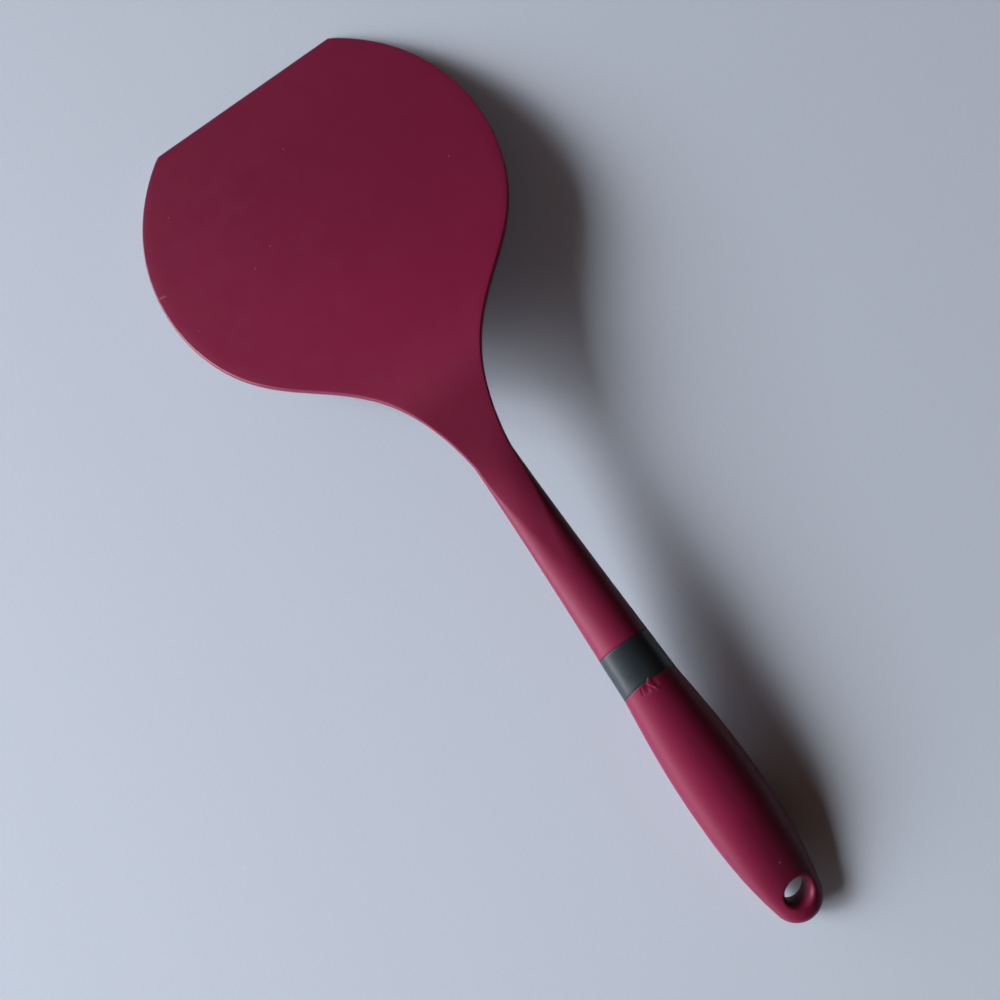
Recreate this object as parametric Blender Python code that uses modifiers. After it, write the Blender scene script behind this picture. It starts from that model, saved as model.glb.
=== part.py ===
"""Pancake turner with a broad round blade, a slim shank, a collar band and an oval grip.

Metres, +Z up. The tool lies as on a table: the leading edge and the grip touch it, and the neck
stands clear. +X runs from the leading edge to the end of the grip, and Y = 0 is its mirror plane.

Every long piece is a loft along one bent centre line. A station is a distance along that line, measured
from the leading edge, with the half width, half height and corner extent of the section there.
"""
import bpy
import bmesh
from math import acos, asin, atan2, ceil, cos, pi, radians, sin, sqrt, tan
from mathutils import Matrix, Vector

# Distances along the centre line
EDGE_TO_CENTRE = 0.0543      # leading edge to the centre of the round blade
CENTRE_TO_BEND = 0.0790      # blade centre to the middle of the bend
CENTRE_TO_NECK = 0.1068      # blade centre to the narrowest place
NECK_TO_COLLAR = 0.0816
COLLAR_LENGTH = 0.0163
GRIP_LENGTH = 0.1110

# Blade
BLADE_RADIUS = 0.0663
BLADE_THICKNESS = 0.0032
BLADE_EDGE_ROUND = 0.0008    # how far the rounded rim reaches inward
LEADING_EDGE_THICKNESS = 0.0014
LEADING_BEVEL = 0.0080       # length of the ground underside behind the leading edge

# Flare from the blade to the neck, one cubic curve
FLARE_START_SLOPE = radians(18.7)
FLARE_END_SLOPE = radians(6.7)
FLARE_BLADE_HANDLE = 0.0395
FLARE_NECK_HANDLE = 0.0547

# Bend between blade and handle
BEND_ANGLE = radians(19.6)
BEND_RADIUS = 0.040

# Shank
NECK_WIDTH = 0.0150
SHANK_WIDTH = 0.0207         # where it meets the collar
SHANK_HEIGHT = 0.0174
SHANK_TAPER = 1.40           # power of the width's growth: 1 is straight
ROUNDING_BEFORE_NECK = 0.024 # where the flat section starts to turn into an oval
ROUNDING_LENGTH = 0.078

# Seams on both sides of the collar: they lean towards the blade at the top
SEAM_LEAN = radians(24.0)
SEAM_LEAN_RUN = 0.032        # distance over which the sections start and stop leaning
SEAM_GAP = 0.00032

# Grip
GRIP_FRONT_WIDTH = 0.0222
GRIP_FRONT_HEIGHT = 0.0180
GRIP_WIDEST = 0.0540         # from the front of the grip to its widest place
GRIP_WIDTH = 0.0293
GRIP_HEIGHT = 0.0218
GRIP_END_RADIUS = 0.0102     # the round end, seen from above
GRIP_END_SLOPE = radians(13.0)
GRIP_END_HEIGHT = 0.0102     # before the end rounds off
GRIP_END_CORNER = 0.94       # share of the half width that the section's corners take at the end
GRIP_NOSE = 0.0050           # length over which the end rounds off, seen from the side

# Hanging hole
HOLE_FROM_END = 0.0138
HOLE_RADIUS = 0.0050
HOLE_RIM_ROUND = 0.0022
HOLE_RIM_DEPTH = 0.0026      # below the face, where the rim starts to flare
HOLE_RIM_TURN = radians(55.0)

# Inside
CLEARANCE = 0.0003           # between pieces that touch in the real tool
CORE_PLATE = 0.0009          # thickness of the stiff plate in the blade
CORE_FRONT = 0.0120          # from the leading edge to the plate
BLADE_RIM = 0.0090           # soft rim of the blade outside the plate
SHANK_WALL = 0.0022          # soft wall round the rod, where it meets the collar
WINDOW_COUNT = 6
WINDOW_RADIUS = 0.0070       # keying windows in the plate
WINDOW_CIRCLE = 0.0360       # radius of the circle that they lie on
TANG_WIDTH = 0.0120
TANG_HEIGHT = 0.0080
TANG_CORNER = 0.0020
TANG_TO_CORE_END = 0.0200    # solid end of the handle core behind the tang
GRIP_WALL = 0.0024
CORE_TO_HOLE = 0.0041        # from the handle core to the throat of the hanging hole

# Resolution
CORNER_STEPS = 5             # segments in each quarter of a section
ARC_STEP = radians(5.5)
FLARE_STEPS = 18
SHANK_STEPS = 12
COLLAR_STEPS = 3
GRIP_STEPS = 16
NOSE_STEP = radians(11.0)
TURN_STEPS = 28              # segments round a hole
REST_ROUNDS = 8              # rounds in which the resting tilt settles

# Places along the centre line, worked out from the distances above
BEND = EDGE_TO_CENTRE + CENTRE_TO_BEND
NECK = EDGE_TO_CENTRE + CENTRE_TO_NECK
FRONT_SEAM = NECK + NECK_TO_COLLAR
REAR_SEAM = FRONT_SEAM + COLLAR_LENGTH
TOOL_END = REAR_SEAM + GRIP_LENGTH
HOLE = TOOL_END - HOLE_FROM_END
CORE_END = HOLE - HOLE_RADIUS - CORE_TO_HOLE
TANG_END = CORE_END - TANG_TO_CORE_END
FULL_CORNER = 0.98           # share of the half width that a fully round section's corner takes


def smooth(share):
    share = min(max(share, 0.0), 1.0)
    return share * share * (3.0 - 2.0 * share)


def mix(start, end, share):
    return start + (end - start) * share


# Centre line and placing

def centre_line(along):
    """Point (x, z) and downward slope of the line. The blade lies level and the handle turns down."""
    start = BEND - BEND_RADIUS * BEND_ANGLE / 2
    turned = min(max((along - start) / BEND_RADIUS, 0.0), BEND_ANGLE)
    after = max(along - start - BEND_RADIUS * BEND_ANGLE, 0.0)
    x = min(along, start) + BEND_RADIUS * sin(turned) + after * cos(BEND_ANGLE)
    z = -BEND_RADIUS * (1.0 - cos(turned)) - after * sin(BEND_ANGLE)
    return x, z, turned


def lean(along):
    """Tangent of the angle by which the section at this station leans, zero away from the collar."""
    rise = smooth((along - (FRONT_SEAM - SEAM_LEAN_RUN)) / SEAM_LEAN_RUN)
    fall = smooth((along - REAR_SEAM) / SEAM_LEAN_RUN)
    return tan(SEAM_LEAN) * (rise - fall)


def place(along, across, up):
    x, z, slope = centre_line(along)
    back = -lean(along) * up
    x += back * cos(slope) + up * sin(slope)
    z += up * cos(slope) - back * sin(slope)
    return Vector((x, across, z))


# Sections and lofts

def section(half_width, half_height, corner, centre_up):
    """Points round a section: straight top and bottom, and elliptical corners that reach in by corner."""
    flat = half_width - corner
    points = []
    for side_across, side_up in ((1, 1), (-1, 1), (-1, -1), (1, -1)):
        for step in range(CORNER_STEPS + 1):
            turn = pi / 2 * step / CORNER_STEPS
            if side_across * side_up < 0:
                turn = pi / 2 - turn
            if turn == 0.0 and side_up < 0:
                continue
            across = side_across * (flat + corner * cos(turn))
            points.append((across, centre_up + side_up * half_height * sin(turn)))
    return points


def loft_mesh(name, stations):
    """Closed mesh through one section per station, flat at both ends.

    A station is (along, half width, half height, corner, centre up)."""
    mesh = bpy.data.meshes.new(name)
    shape = bmesh.new()
    rings = []
    for along, *size in stations:
        rings.append([shape.verts.new(place(along, across, up)) for across, up in section(*size)])
    count = len(rings[0])
    for ring, following in zip(rings, rings[1:]):
        for index in range(count):
            beside = (index + 1) % count
            shape.faces.new((ring[index], ring[beside], following[beside], following[index]))
    shape.faces.new(rings[0])
    shape.faces.new(rings[-1])
    bmesh.ops.recalc_face_normals(shape, faces=shape.faces)
    shape.to_mesh(mesh)
    shape.free()
    return mesh


def grown(stations, distance):
    """The same stations with every section larger by distance all round."""
    return [(along, width + distance, height + distance, corner + distance, centre)
            for along, width, height, corner, centre in stations]


# Outline of the head, seen from above

def flare_points():
    """Cubic curve from the round blade to the neck, as (along, half width, angle of the outline)."""
    outward = Vector((sin(FLARE_START_SLOPE), cos(FLARE_START_SLOPE)))
    start = Vector((EDGE_TO_CENTRE, 0.0)) + BLADE_RADIUS * outward
    end = Vector((NECK, NECK_WIDTH / 2))
    first = start + FLARE_BLADE_HANDLE * Vector((cos(FLARE_START_SLOPE), -sin(FLARE_START_SLOPE)))
    second = end - FLARE_NECK_HANDLE * Vector((cos(FLARE_END_SLOPE), -sin(FLARE_END_SLOPE)))
    points = []
    for step in range(1, FLARE_STEPS + 1):
        t = step / FLARE_STEPS
        s = 1.0 - t
        point = s**3 * start + 3 * s * s * t * first + 3 * s * t * t * second + t**3 * end
        heading = s * s * (first - start) + 2 * s * t * (second - first) + t * t * (end - second)
        points.append((point.x, point.y, atan2(-heading.y, heading.x)))
    return points


def blade_points():
    """The round blade from the leading edge to the flare, with a station where the bevel ends."""
    first = -asin(EDGE_TO_CENTRE / BLADE_RADIUS)
    bevel_end = -asin((EDGE_TO_CENTRE - LEADING_BEVEL) / BLADE_RADIUS)
    steps = ceil((FLARE_START_SLOPE - bevel_end) / ARC_STEP)
    angles = [first, (first + bevel_end) / 2]
    angles += [mix(bevel_end, FLARE_START_SLOPE, step / steps) for step in range(steps + 1)]
    return [(EDGE_TO_CENTRE + BLADE_RADIUS * sin(angle), BLADE_RADIUS * cos(angle), angle)
            for angle in angles]


def shank_points():
    points = []
    for step in range(1, SHANK_STEPS + 1):
        share = step / SHANK_STEPS
        width = mix(NECK_WIDTH, SHANK_WIDTH, share**SHANK_TAPER) / 2
        points.append((mix(NECK, FRONT_SEAM - SEAM_GAP / 2, share), width, 0.0))
    return points


def outline():
    return blade_points() + flare_points() + shank_points()


# Heights along the head

def shank_share(along):
    """How far the head has thickened: 0 in the blade, 1 where the shank meets the collar."""
    return min(max((along - BEND) / (FRONT_SEAM - BEND), 0.0), 1.0)


def round_share(along):
    """How round the section is: 0 for a plate with a rounded rim, 1 for an oval."""
    return smooth((along - (NECK - ROUNDING_BEFORE_NECK)) / ROUNDING_LENGTH)


def head_height(along):
    bevel = LEADING_EDGE_THICKNESS + (BLADE_THICKNESS - LEADING_EDGE_THICKNESS) * along / LEADING_BEVEL
    plate = min(max(bevel, LEADING_EDGE_THICKNESS), BLADE_THICKNESS)
    return mix(plate, SHANK_HEIGHT, shank_share(along)) / 2


def head_stations():
    stations = []
    for along, width, angle in outline():
        height = head_height(along)
        rim = min(BLADE_EDGE_ROUND / cos(angle), FULL_CORNER * width)
        corner = mix(rim, FULL_CORNER * width, round_share(along))
        centre = max(BLADE_THICKNESS / 2 - height, 0.0)
        stations.append((along, width, height, corner, centre))
    return stations


def core_stations():
    """Plate and rod inside the head: the outline moved inward, thickening in the shank."""
    stations = []
    for along, width, angle in outline():
        inset = mix(BLADE_RIM, SHANK_WALL + CLEARANCE, smooth((along - EDGE_TO_CENTRE) / CENTRE_TO_NECK))
        inside_along = along - inset * sin(angle)
        inside_width = width - inset * cos(angle)
        if inside_along < CORE_FRONT:
            continue
        height = mix(CORE_PLATE / 2, SHANK_HEIGHT / 2 - SHANK_WALL - CLEARANCE, shank_share(inside_along))
        corner = min(height, FULL_CORNER * inside_width)
        corner = mix(corner, FULL_CORNER * inside_width, round_share(inside_along))
        stations.append((inside_along, inside_width, height, corner, 0.0))
    front = stations[0]
    if front[0] > CORE_FRONT:
        narrower = front[1] - (front[0] - CORE_FRONT) * (EDGE_TO_CENTRE - CORE_FRONT) / front[1]
        stations.insert(0, (CORE_FRONT, narrower, *front[2:]))
    return stations


def tang_stations(start, end):
    steps = ceil((end - start) / (SEAM_LEAN_RUN / 4))
    size = (TANG_WIDTH / 2, TANG_HEIGHT / 2, TANG_CORNER, 0.0)
    return [(mix(start, end, step / steps), *size) for step in range(steps + 1)]


# Handle

def grip_width(along):
    """Half width of the grip: a swell, a taper and a round end."""
    swell = REAR_SEAM + GRIP_WIDEST
    end_centre = TOOL_END - GRIP_END_RADIUS
    cap_start = end_centre + GRIP_END_RADIUS * sin(GRIP_END_SLOPE)
    cap_width = GRIP_END_RADIUS * cos(GRIP_END_SLOPE)
    if along <= swell:
        return mix(GRIP_FRONT_WIDTH, GRIP_WIDTH, sin(pi / 2 * (along - REAR_SEAM) / GRIP_WIDEST)) / 2
    if along <= cap_start:
        share = (along - swell) / (cap_start - swell)
        power = tan(GRIP_END_SLOPE) * (cap_start - swell) / (GRIP_WIDTH / 2 - cap_width)
        return mix(GRIP_WIDTH / 2, cap_width, share**power)
    return sqrt(max(GRIP_END_RADIUS**2 - (along - end_centre)**2, 0.0))


def fall_share(along):
    """How far the grip has gone from its widest place, 0, to its end, 1."""
    swell = REAR_SEAM + GRIP_WIDEST
    return smooth((along - swell) / (TOOL_END - swell))


def grip_height(along):
    """Half height of the grip, before its end rounds off."""
    rise = sin(pi / 2 * min((along - REAR_SEAM) / GRIP_WIDEST, 1.0))
    return mix(mix(GRIP_FRONT_HEIGHT, GRIP_HEIGHT, rise), GRIP_END_HEIGHT, fall_share(along)) / 2


def nose(along):
    """Share of its height that the grip keeps where its end rounds off, seen from the side."""
    into = max(along - (TOOL_END - GRIP_NOSE), 0.0) / GRIP_NOSE
    return sqrt(1.0 - into**2)


def round_stations(places, inset):
    stations = []
    for along in places:
        width = grip_width(along) - inset
        height = grip_height(along) * nose(along) - inset
        corner = mix(FULL_CORNER, GRIP_END_CORNER, fall_share(along)) * width
        stations.append((along, width, height, corner, 0.0))
    return stations


def grip_places():
    """Even steps along the grip, then even turns round its end."""
    end_centre = TOOL_END - GRIP_END_RADIUS
    start = REAR_SEAM + SEAM_GAP / 2
    cap_start = end_centre + GRIP_END_RADIUS * sin(GRIP_END_SLOPE)
    places = [mix(start, cap_start, step / GRIP_STEPS) for step in range(GRIP_STEPS)]
    last = acos(0.06)
    turns = ceil((last - GRIP_END_SLOPE) / NOSE_STEP)
    for step in range(turns + 1):
        places.append(end_centre + GRIP_END_RADIUS * sin(mix(GRIP_END_SLOPE, last, step / turns)))
    return places


def handle_core_places():
    start = REAR_SEAM + SEAM_GAP / 2
    return [mix(start, CORE_END, step / GRIP_STEPS) for step in range(GRIP_STEPS + 1)]


# Blender objects

def clear_scene():
    for item in list(bpy.data.objects):
        bpy.data.objects.remove(item, do_unlink=True)


def new_collection(name):
    collection = bpy.data.collections.new(name)
    bpy.context.scene.collection.children.link(collection)
    return collection


def make_material(name, colour, roughness, metallic=0.0):
    material = bpy.data.materials.new(name)
    material.use_nodes = True
    shader = material.node_tree.nodes["Principled BSDF"]
    shader.inputs["Base Color"].default_value = (*colour, 1.0)
    shader.inputs["Roughness"].default_value = roughness
    shader.inputs["Metallic"].default_value = metallic
    return material


def add_part(name, mesh, material, parts):
    part = bpy.data.objects.new(name, mesh)
    mesh.materials.append(material)
    mesh.shade_smooth()
    mesh.set_sharp_from_angle(angle=radians(40))
    parts.objects.link(part)
    return part


def add_cutter(name, mesh, cutters):
    cutter = bpy.data.objects.new(name, mesh)
    cutter.hide_render = True
    cutter.display_type = "WIRE"
    cutters.objects.link(cutter)
    return cutter


def cut(part, cutter):
    modifier = part.modifiers.new("cut " + cutter.name, "BOOLEAN")
    modifier.operation = "DIFFERENCE"
    modifier.object = cutter


def windows_mesh(name, radius):
    """One upright cylinder for each keying window of the blade's plate."""
    mesh = bpy.data.meshes.new(name)
    shape = bmesh.new()
    for number in range(WINDOW_COUNT):
        angle = 2 * pi * (number + 0.5) / WINDOW_COUNT
        spot = Vector((EDGE_TO_CENTRE + WINDOW_CIRCLE * cos(angle), WINDOW_CIRCLE * sin(angle), 0.0))
        bmesh.ops.create_cone(shape, cap_ends=True, segments=TURN_STEPS, radius1=radius, radius2=radius,
                              depth=3 * BLADE_THICKNESS, matrix=Matrix.Translation(spot))
    shape.to_mesh(mesh)
    shape.free()
    return mesh


def hole_cutter(cutters):
    """Turned cutter for the hanging hole: a straight throat with a rounded, flaring rim on both faces."""
    throat_end = grip_height(HOLE) - HOLE_RIM_DEPTH
    upper = []
    for step in range(CORNER_STEPS + 1):
        turn = HOLE_RIM_TURN * (1 - step / CORNER_STEPS)
        radius = HOLE_RADIUS + HOLE_RIM_ROUND * (1 - cos(turn))
        upper.append((radius, throat_end + HOLE_RIM_ROUND * sin(turn)))
    radius, up = upper[0]
    reach = GRIP_HEIGHT
    upper.insert(0, (radius + reach * sin(HOLE_RIM_TURN), up + reach * cos(HOLE_RIM_TURN)))
    upper.insert(0, (0.0, upper[0][1]))
    profile = upper + [(radius, -up) for radius, up in reversed(upper)]
    mesh = bpy.data.meshes.new("hanging_hole_cutter")
    shape = bmesh.new()
    points = [shape.verts.new((radius, 0.0, up)) for radius, up in profile]
    for point, following in zip(points, points[1:]):
        shape.edges.new((point, following))
    shape.to_mesh(mesh)
    shape.free()
    cutter = add_cutter("hanging_hole_cutter", mesh, cutters)
    screw = cutter.modifiers.new("turn", "SCREW")
    screw.steps = TURN_STEPS
    screw.render_steps = TURN_STEPS
    screw.use_merge_vertices = True
    screw.merge_threshold = 0.00001
    slope = centre_line(HOLE)[2]
    cutter.location = place(HOLE, 0.0, 0.0)
    cutter.rotation_euler = (0.0, slope, 0.0)
    return cutter


# Pieces

def make_head_skin(parts, cutters, silicone):
    """Soft moulding of blade, neck and shank, hollow for the core and open towards the collar."""
    skin = add_part("head_skin", loft_mesh("head_skin", head_stations()), silicone, parts)
    pocket = grown(core_stations(), CLEARANCE)
    last = pocket[-1]
    pocket[0] = (pocket[0][0] - CLEARANCE, *pocket[0][1:])
    pocket.append((FRONT_SEAM + COLLAR_LENGTH / 2, *last[1:]))
    pocket_cutter = add_cutter("core_pocket_cutter", loft_mesh("core_pocket_cutter", pocket), cutters)
    posts = add_cutter("post_cutter", windows_mesh("post_cutter", WINDOW_RADIUS - CLEARANCE), cutters)
    cut(pocket_cutter, posts)
    cut(skin, pocket_cutter)


def make_head_core(parts, cutters, core_material):
    """Plate, rod and tang in one, with keying windows in the plate and a shoulder that seats the collar."""
    stations = core_stations() + tang_stations(FRONT_SEAM - SEAM_GAP / 2, TANG_END)
    core = add_part("head_core", loft_mesh("head_core", stations), core_material, parts)
    windows = add_cutter("window_cutter", windows_mesh("window_cutter", WINDOW_RADIUS), cutters)
    cut(core, windows)


def make_collar(parts, cutters, collar_material):
    """Band that carries the shank's section on into the grip's, bored for the tang."""
    start = FRONT_SEAM + SEAM_GAP / 2
    end = REAR_SEAM - SEAM_GAP / 2
    stations = []
    for step in range(COLLAR_STEPS + 1):
        share = step / COLLAR_STEPS
        width = mix(SHANK_WIDTH, GRIP_FRONT_WIDTH, share) / 2
        height = mix(SHANK_HEIGHT, GRIP_FRONT_HEIGHT, share) / 2
        stations.append((mix(start, end, share), width, height, FULL_CORNER * width, 0.0))
    collar = add_part("collar", loft_mesh("collar", stations), collar_material, parts)
    bore = grown(tang_stations(FRONT_SEAM - COLLAR_LENGTH / 2, REAR_SEAM + COLLAR_LENGTH / 2), CLEARANCE)
    cut(collar, add_cutter("collar_bore_cutter", loft_mesh("collar_bore_cutter", bore), cutters))


def make_handle_core(parts, cutters, core_material):
    """Hard body inside the grip, with a socket for the tang."""
    stations = round_stations(handle_core_places(), GRIP_WALL + CLEARANCE)
    core = add_part("handle_core", loft_mesh("handle_core", stations), core_material, parts)
    socket = grown(tang_stations(REAR_SEAM - COLLAR_LENGTH / 2, TANG_END + CLEARANCE), CLEARANCE)
    cut(core, add_cutter("tang_socket_cutter", loft_mesh("tang_socket_cutter", socket), cutters))


def make_grip(parts, cutters, silicone):
    """Soft sleeve over the handle core, closed at its end, with the hanging hole behind the core."""
    grip = add_part("grip", loft_mesh("grip", round_stations(grip_places(), 0.0)), silicone, parts)
    pocket = round_stations(handle_core_places(), GRIP_WALL)
    pocket.insert(0, (REAR_SEAM - COLLAR_LENGTH / 2, *pocket[0][1:]))
    pocket[-1] = (CORE_END + CLEARANCE, *pocket[-1][1:])
    cut(grip, add_cutter("handle_pocket_cutter", loft_mesh("handle_pocket_cutter", pocket), cutters))
    cut(grip, hole_cutter(cutters))


# Rest pose

def side_points(parts):
    """Every vertex of the finished parts as (x, z)."""
    graph = bpy.context.evaluated_depsgraph_get()
    points = []
    for part in parts.objects:
        evaluated = part.evaluated_get(graph)
        mesh = evaluated.to_mesh()
        points += [(vertex.co.x, vertex.co.z) for vertex in mesh.vertices]
        evaluated.to_mesh_clear()
    return points


def tilted(points, tilt):
    return [(x * cos(tilt) - z * sin(tilt), x * sin(tilt) + z * cos(tilt)) for x, z in points]


def rest(parts, cutters):
    """Tilt the tool until the blade's leading end and the grip both touch z = 0, and centre it on x = 0."""
    level = side_points(parts)
    tilt = 0.0
    for _ in range(REST_ROUNDS):
        points = tilted(level, tilt)
        front = min((point for point in points if point[0] < BEND), key=lambda point: point[1])
        rear = min((point for point in points if point[0] >= BEND), key=lambda point: point[1])
        tilt -= atan2(rear[1] - front[1], rear[0] - front[0])
    points = tilted(level, tilt)
    seat = bpy.data.objects.new("rest_pose", None)
    seat.rotation_euler = (0.0, -tilt, 0.0)
    seat.location.x = -(min(x for x, z in points) + max(x for x, z in points)) / 2
    seat.location.z = -min(z for x, z in points)
    bpy.context.scene.collection.objects.link(seat)
    for item in list(parts.objects) + list(cutters.objects):
        item.parent = seat


def main():
    clear_scene()
    parts = new_collection("pancake_turner")
    cutters = new_collection("cutters")
    silicone = make_material("wine_red_silicone", (0.20, 0.018, 0.052), 0.55)
    satin = make_material("grey_satin_plastic", (0.045, 0.055, 0.060), 0.35)
    stiff = make_material("natural_nylon", (0.55, 0.53, 0.48), 0.50)
    make_head_skin(parts, cutters, silicone)
    make_head_core(parts, cutters, stiff)
    make_collar(parts, cutters, satin)
    make_handle_core(parts, cutters, stiff)
    make_grip(parts, cutters, silicone)
    rest(parts, cutters)


main()
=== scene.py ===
"""Looks of the pancake turner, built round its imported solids.

The three pieces that show (head, collar, grip) are lofts along the same bent centre line as the
solids. They are finer, with rounded seams, a rolled rim round the hanging hole and the small
marks of use. Metres, +Z up. The tool lies on the floor with its leading edge towards -X.
"""

from math import acos, asin, cos, pi, radians, sin, tan

import bmesh
import bpy
import numpy as np
from mathutils import Matrix, Vector


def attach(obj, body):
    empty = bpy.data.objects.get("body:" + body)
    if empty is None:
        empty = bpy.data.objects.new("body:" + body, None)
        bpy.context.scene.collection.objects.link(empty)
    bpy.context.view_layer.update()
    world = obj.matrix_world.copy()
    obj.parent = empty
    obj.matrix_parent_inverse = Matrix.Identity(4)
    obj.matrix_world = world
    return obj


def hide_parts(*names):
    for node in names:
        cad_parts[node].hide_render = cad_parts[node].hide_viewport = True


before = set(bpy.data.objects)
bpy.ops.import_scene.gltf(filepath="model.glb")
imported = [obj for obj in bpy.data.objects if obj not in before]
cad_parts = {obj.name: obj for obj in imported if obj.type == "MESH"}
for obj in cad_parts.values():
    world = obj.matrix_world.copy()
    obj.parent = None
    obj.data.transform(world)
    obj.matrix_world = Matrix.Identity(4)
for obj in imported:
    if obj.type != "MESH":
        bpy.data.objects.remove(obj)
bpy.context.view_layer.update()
scene = bpy.context.scene

# The solids' own sizes. Places are distances along the centre line from the leading edge.
EDGE_TO_CENTRE = 0.0543      # middle of the round blade
BEND = 0.1333                # middle of the bend
NECK = 0.1611
FRONT_SEAM = 0.2427          # between head and collar
REAR_SEAM = 0.2590           # between collar and grip
HOLE = 0.3562
TOOL_END = 0.3700
BLADE_RADIUS = 0.0663
BLADE_THICKNESS = 0.0032
BLADE_EDGE_ROUND = 0.0008
LEADING_EDGE_THICKNESS = 0.0014
LEADING_BEVEL = 0.0080
FLARE_START_SLOPE = radians(18.7)   # slopes of the outline where the flare leaves the round blade
FLARE_END_SLOPE = radians(6.7)      # and where it meets the neck
FLARE_BLADE_HANDLE = 0.0395         # lengths of the handles of its cubic curve
FLARE_NECK_HANDLE = 0.0547
BEND_ANGLE = radians(19.6)
BEND_RADIUS = 0.040
NECK_WIDTH = 0.0150
SHANK_WIDTH = 0.0207         # at the front seam
SHANK_HEIGHT = 0.0174
SHANK_TAPER = 1.40           # power with which the width grows from the neck
SEAM_LEAN = radians(24.0)
SEAM_LEAN_RUN = 0.032        # length over which the sections start and stop leaning
GRIP_FRONT_WIDTH = 0.0222
GRIP_FRONT_HEIGHT = 0.0180
GRIP_WIDEST = 0.0540         # distance of the widest place behind the rear seam
GRIP_WIDTH = 0.0293
GRIP_HEIGHT = 0.0218
GRIP_END_RADIUS = 0.0102
GRIP_END_SLOPE = radians(13.0)
GRIP_END_HEIGHT = 0.0102
FULL_CORNER = 0.98           # share of the half width that an oval section's corner takes
GRIP_END_CORNER = 0.94       # the same at the grip's end
GRIP_NOSE = 0.0050           # length over which the height rounds off at the end
HOLE_RADIUS = 0.0050
CLEARANCE = 0.0003
CORE_PLATE = 0.0009
CORE_FRONT = 0.0120
CORE_END = 0.3471
BLADE_RIM = 0.0090           # silicone beyond the core, in the plane of the blade
SHANK_WALL = 0.0022
GRIP_WALL = 0.0024
TANG_WIDTH = 0.0120
TANG_HEIGHT = 0.0080
TANG_CORNER = 0.0020

# Where the rest pose puts the line: a tilt about Y, then a shift
REST_TILT = radians(13.498)
REST_X = -0.182365
REST_Z = -0.000180

# Details that only show here
SEAM_ROUND = 0.00022         # rounded edges on both sides of each seam
SEAM_SHOWN = 0.00008         # width of the seam itself, drawn closer than between the solids
LEADING_ROUND = 0.00030
LEAST_CORNER = 0.0002        # what a rounded end leaves of a section's corner
LEAST_GAP = 1e-5             # between a rounded end and the next station
SHARP_ANGLE = radians(40)    # faces that meet at more than this are shaded with an edge
HEIGHT_TAPER = 1.40          # the shank thickens later behind the neck than in the solids
ROUNDING_AFTER_NECK = 0.002  # distance behind the neck where it starts to turn into an oval
ROUNDING_LENGTH = 0.048
CROWN = 0.32                 # how far its upper face is domed on the way
CROWN_START = 0.147
CROWN_END = 0.203
REAR_SEAM_STEEPER = 0.17     # slope that the rear seam has beyond the front one's
CORE_RECESS = 0.0031         # room in the collar's rear end for the front of the handle core
TWIST = radians(9.0)         # the handle is twisted a little about its own line
TWIST_START = 0.20
RIM_ROLL = 0.0022            # rolled rim of the hanging hole, outward from its throat
RIM_DEPTH = 0.0042           # and down into it
HOLE_ACROSS = 0.0006         # how far the hanging hole sits to the right of the centre line

# The torn flap at the front edge of the grip: furrows and ridges as line segments, each with its
# start and end (beyond the seam, across), half width and height, all in millimetres
MM_PER_M = 1000.0
TORN = (((1.1, -4.1), (3.1, -4.5), 0.46, -0.20), ((1.3, -2.2), (3.0, -2.5), 0.86, -0.34),
        ((1.6, -1.4), (2.9, -0.6), 0.56, -0.26), ((1.0, 0.9), (2.6, 1.5), 0.66, -0.22),
        ((1.4, -3.3), (3.4, -3.6), 0.52, -0.12), ((0.2, -1.2), (1.2, -1.0), 0.28, 0.14),
        ((1.2, -1.0), (2.3, -0.2), 0.26, 0.16), ((2.3, -0.2), (3.6, 0.4), 0.26, 0.14),
        ((3.6, 0.4), (4.4, 1.1), 0.36, 0.08), ((4.4, 1.1), (5.4, -0.8), 0.46, 0.05),
        ((3.4, -1.6), (4.6, -0.4), 0.90, -0.06))
TORN_START = 0.0006          # length behind the seam over which they fade in
TOP_SHARE = 0.5              # share of the half height above which a point is on the upper face
LIP_ACROSS = 0.0002          # middle of the torn lip that reaches forward over the collar
LIP_HALF_WIDTH = 0.0014
LIP_REACH = 0.0009           # how far it reaches over the seam
LIP_RUN = 0.0018             # how far back the pull shows
LIP_LIFT = 0.00024           # how far it stands up

# Small marks of use, as places along and across: dust on the grip and the blade, and a scuff
GRIP_SPECKS = ((0.3402, 0.0004),)
BLADE_SPECKS = ((0.0648, 0.0473), (0.0540, -0.0219), (0.0578, -0.0307), (0.0224, -0.0463),
                (0.0260, 0.0013), (0.0650, -0.0593))
BLADE_SCUFF = ((0.04640, -0.06480), (0.04647, -0.06434), (0.04654, -0.06388),
               (0.04661, -0.06342), (0.04668, -0.06296), (0.04675, -0.06250))
GRIP_SPECK_RADIUS = 0.0005
BLADE_SPECK_RADIUS = 0.00032
BLADE_SCUFF_RADIUS = 0.00038
MARK_CORE = 0.5              # share of the radius that a mark covers fully
DUST_CORE = 0.6              # the same for the dust that is spread over the silicone

# How fine the meshes are: steps of the blade, the flare and the shank, turns of a section's
# corner, steps across its flat and stations along
HEAD_STEPS = (48, 70, 64)
HEAD_POCKET_STEPS = (14, 18, 12)
HEAD_TURNS = 13
HEAD_FLAT_STEPS = 30
COLLAR_STATIONS = 13
COLLAR_BORE_STATIONS = 5
COLLAR_TURNS = 25
COLLAR_FLAT_STEPS = 6
GRIP_POCKET_STATIONS = 17
GRIP_TURNS = 31              # in each of the two parts of the corner
GRIP_TURN_SPLIT = 1.1
GRIP_FLAT_STEPS = 8
ROUND_STEPS = 4
RIM_STEPS = 10
THROAT_STEPS = 8

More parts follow.
